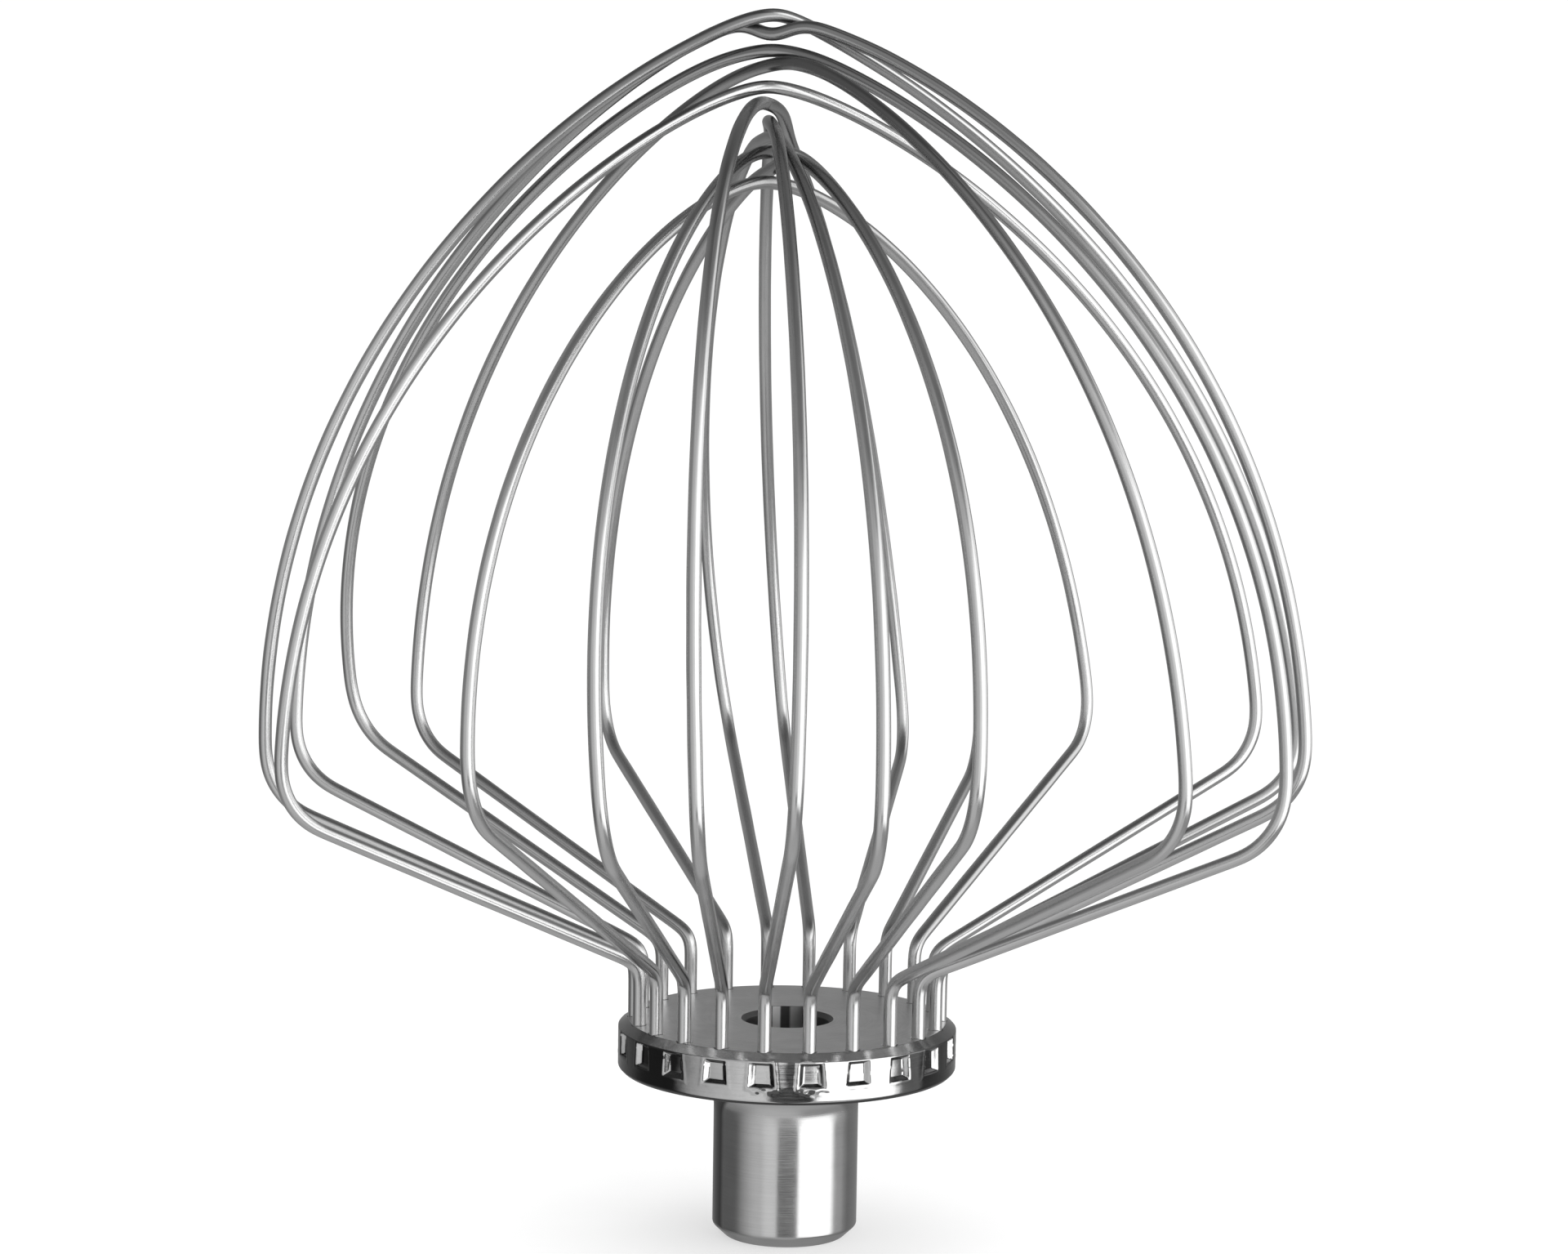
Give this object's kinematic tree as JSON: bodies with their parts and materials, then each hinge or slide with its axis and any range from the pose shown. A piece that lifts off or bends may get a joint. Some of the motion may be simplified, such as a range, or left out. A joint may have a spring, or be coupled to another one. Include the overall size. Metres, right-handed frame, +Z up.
{
  "type": "mixer wire whip",
  "caption": "Balloon-shaped wire whip: full wire loops crossing at the crown, their legs seated in a round flange, with a tubular hub below that slides over a mixer shaft.",
  "frame": {"origin": "centre of the hub's open bottom end face, on the hub's axis", "axes": "+Z up the hub's axis from its open end towards the crown of the wires; -Y is the side the keyway faces away from, +X to the right seen from -Y"},
  "size_m": [0.1583, 0.1585, 0.185],
  "materials": {
    "wire_steel": "drawn and polished stainless wire",
    "disc_steel": "polished rim, satin top",
    "hub_steel": "fine turned"
  },
  "bodies": {
    "root": {"holder_flange": "disc_steel", "hub_sleeve": "hub_steel", "wire_loop_01": "wire_steel", "wire_loop_02": "wire_steel", "wire_loop_03": "wire_steel", "wire_loop_04": "wire_steel", "wire_loop_05": "wire_steel", "wire_loop_06": "wire_steel", "wire_loop_07": "wire_steel", "wire_loop_08": "wire_steel", "wire_loop_09": "wire_steel", "wire_loop_10": "wire_steel", "wire_loop_11": "wire_steel"}
  },
  "joints": []
}
